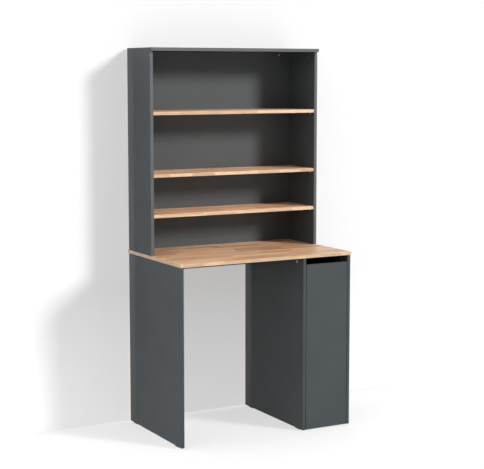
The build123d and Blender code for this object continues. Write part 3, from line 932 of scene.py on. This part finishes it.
def make_buffers():
    """Domed rubber stops between the pull-out's front and the compartment."""
    buffers = loose_parts("stop_buffers")
    low, high = buffers[0]
    radius, height = (high[X] - low[X]) / 2, high[Y] - low[Y]
    wall = height * BUFFER_WALL_SHARE
    profile = [(radius, 0.0), *dome(radius, wall, height, BUFFER_DOME_STEPS)]
    places = []
    for low, high in buffers:
        x, _, z = middle((low, high))
        places.append(facing(Vector((x, high[Y], z)), Vector((0, -1, 0)), UP))
    rubber = moulded("buffer_rubber", *BUFFER_RUBBER)
    add_pieces("domed_buffers", turned(profile), places, "stop_buffers", rubber, DOME_CREASE)


# Ball rows of the runners

def row_stations(first, last):
    """The stations along Y of a row's balls, from its first to its last."""
    step = (last - first) / (BALLS_PER_ROW - 1)
    return [first + step * index for index in range(BALLS_PER_ROW)]


def ball_rows(node):
    """For each row of a node's balls: its X and Z, and the stations of its balls along Y."""
    rows = {}
    for box in loose_parts(node):
        x, y, z = middle(box)
        rows.setdefault((round(x, PLACE_DIGITS), round(z, PLACE_DIGITS)), []).append(y)
    return [(x, z, row_stations(min(ys), max(ys))) for (x, z), ys in sorted(rows.items())]


def make_balls(name, node, radius, material):
    """Polished balls of one stage, as many in each row as the cage has pockets."""
    places = [Matrix.Translation((x, y, z)) for x, z, stations in ball_rows(node) for y in stations]
    ball = bmesh.new()
    bmesh.ops.create_icosphere(ball, subdivisions=BALL_DETAIL, radius=radius)
    add_pieces(name, ball, places, node, material, NO_CREASE)


def slotted_outline(low, high, x, half, stations):
    """A strip's outline, with a slot at each ball that is open on the side the ball stands out at."""
    left, right = x - half, x + half
    points = [(low[X], low[Y]), (high[X], low[Y])]
    if right > high[X]:
        for y in stations:
            points += [(high[X], y - half), (left, y - half), (left, y + half), (high[X], y + half)]
    points += [(high[X], high[Y]), (low[X], high[Y])]
    if left < low[X]:
        for y in reversed(stations):
            points += [(low[X], y + half), (right, y + half), (right, y - half), (low[X], y - half)]
    return points


def make_cages(name, node, balls, radius, material):
    """Pressed strips with one slot for each ball."""
    whole = bmesh.new()
    rows = ball_rows(balls)
    for low, high in loose_parts(node):
        centre = middle((low, high))
        x, _, stations = min(rows, key=lambda row: abs(row[0] - centre[X]) + abs(row[1] - centre[Z]))
        outline = slotted_outline(low, high, x, radius + BALL_PLAY, stations)
        under, over = [[whole.verts.new((*point, level)) for point in outline] for level in (low[Z], high[Z])]
        flat_with_holes(whole, under, ())
        flat_with_holes(whole, over, ())
        join_loops(whole, under, over)
    add_pieces(name, whole, [Matrix()], node, material)


def make_ball_rows():
    """Balls and cages of both stages."""
    polish = polished_steel("ball_polish")
    pressed = plated_steel("cage_zinc", *CAGE_ZINC, Y)
    make_cages("outer_cage_strips", "outer_ball_cages", "outer_balls", OUTER_BALL_RADIUS, pressed)
    make_cages("inner_cage_strips", "inner_ball_cages", "inner_balls", INNER_BALL_RADIUS, pressed)
    make_balls("outer_polished_balls", "outer_balls", OUTER_BALL_RADIUS, polish)
    make_balls("inner_polished_balls", "inner_balls", INNER_BALL_RADIUS, polish)


# Stage, light and camera

def seen_white(tree):
    """One for rays from the eye, straight or by a mirror or glass."""
    rays = tree.node("LightPath", {}).outputs
    direct = tree.larger(rays["Is Camera Ray"], rays["Is Glossy Ray"])
    return tree.larger(direct, rays["Is Transmission Ray"])


def stage_finish(name, seen_tone, glow_low, glow_high):
    """Plain white that stays white to the eye and keeps a soft shadow."""
    finish = Finish(name, {"Roughness": 1.0, "Specular IOR Level": 0.0})
    seen = seen_white(finish)
    mottle = finish.spread(finish.noise(finish.place, *STAGE_MOTTLE), *ROUGH_RANGE, *STAGE_MOTTLE_TONES)
    tone = finish.times(finish.choose(seen, STAGE_TONE, seen_tone), mottle)
    finish.set("Base Color", finish.node("CombineColor", {0: tone, 1: tone, 2: tone}).outputs[0])
    finish.set("Emission Color", (1, 1, 1, 1))
    # Painted light: on the wall the glow grows towards the floor, so its shadow is painted lighter low down
    glow = finish.spread(finish.axes[Z], 0.0, WALL_GLOW_RISE, glow_low, glow_high)
    finish.set("Emission Strength", finish.times(seen, glow))
    return finish


def open_from_behind(finish):
    """Lets an eye behind a sheet see through it, and light that comes from close by."""
    behind = finish.node("NewGeometry", {}).outputs["Backfacing"]
    length = finish.node("LightPath", {}).outputs["Ray Length"]
    open_here = finish.larger(behind, finish.math("LESS_THAN", length, BEHIND_REACH))
    clear = finish.node("BsdfTransparent", {}).outputs[0]
    mixed = finish.node("MixShader", {0: open_here, 1: finish.shader.outputs[0], 2: clear}).outputs[0]
    finish.feed(finish.tree.nodes["Material Output"].inputs["Surface"], mixed)


def add_sheet(name, corners, finish):
    """One flat face of the stage."""
    data = bpy.data.meshes.new(name)
    data.from_pydata(corners, [], [(0, 1, 2, 3)])
    data.materials.append(finish.material)
    sheet = bpy.data.objects.new(name, data)
    bpy.context.scene.collection.objects.link(sheet)


def make_stage():
    """A pale floor, and a pale wall close behind the cabinet."""
    reach, low = STAGE_REACH, -FLOOR_DROP
    back = cad_box[1][Y] + WALL_GAP
    floor = [(-reach, -reach, low), (reach, -reach, low), (reach, reach, low), (-reach, reach, low)]
    wall = [(-reach, back, low), (reach, back, low), (reach, back, reach), (-reach, back, reach)]
    floor_white = stage_finish("floor_white", FLOOR_SEEN_TONE, FLOOR_GLOW, FLOOR_GLOW)
    wall_white = stage_finish("wall_white", WALL_SEEN_TONE, WALL_GLOW_LOW, WALL_GLOW)
    open_from_behind(wall_white)
    add_sheet("floor", floor, floor_white)
    add_sheet("wall", wall, wall_white)


def make_world():
    """A pale room: soft light all round, more of it from above and from the left, white where it is seen."""
    world = bpy.data.worlds.new("room")
    world.use_nodes = True
    bpy.context.scene.world = world
    room = Tree(world.node_tree)
    background = room.tree.nodes["Background"].inputs
    direction = room.split(room.node("TexCoord", {}).outputs["Generated"])
    above = room.times(room.larger(direction[Z], 0.0), ROOM_OVERHEAD)
    left = room.times(room.larger(room.times(direction[X], -1.0), 0.0), ROOM_LEFT)
    level = room.add(room.add(above, left), ROOM_LEVEL)
    room.feed(background["Strength"], room.choose(seen_white(room), level, 1.0))
    room.feed(background["Color"], (1, 1, 1, 1))


def make_key():
    """The soft key light."""
    data = bpy.data.lights.new("key", "SUN")
    data.energy = KEY_STRENGTH
    data.angle = KEY_WIDTH
    key = bpy.data.objects.new("key", data)
    key.rotation_mode = "QUATERNION"
    key.rotation_quaternion = Vector(KEY_DIRECTION).to_track_quat("Z", "Y")
    bpy.context.scene.collection.objects.link(key)


def make_camera():
    """The photograph's camera."""
    data = bpy.data.cameras.new("camera")
    data.lens = CAMERA_LENS
    data.sensor_width = CAMERA_SENSOR
    data.shift_y = CAMERA_SHIFT
    camera = bpy.data.objects.new("camera", data)
    camera.location = CAMERA_PLACE
    camera.rotation_euler = (math.pi / 2 - CAMERA_PITCH, 0.0, -CAMERA_YAW)
    bpy.context.scene.collection.objects.link(camera)
    bpy.context.scene.camera = camera


dress_nodes()
make_cams()
make_caps()
make_bracket_screws()
make_buffers()
make_ball_rows()
make_stage()
make_world()
make_key()
make_camera()
bpy.context.scene.view_settings.view_transform = "Standard"
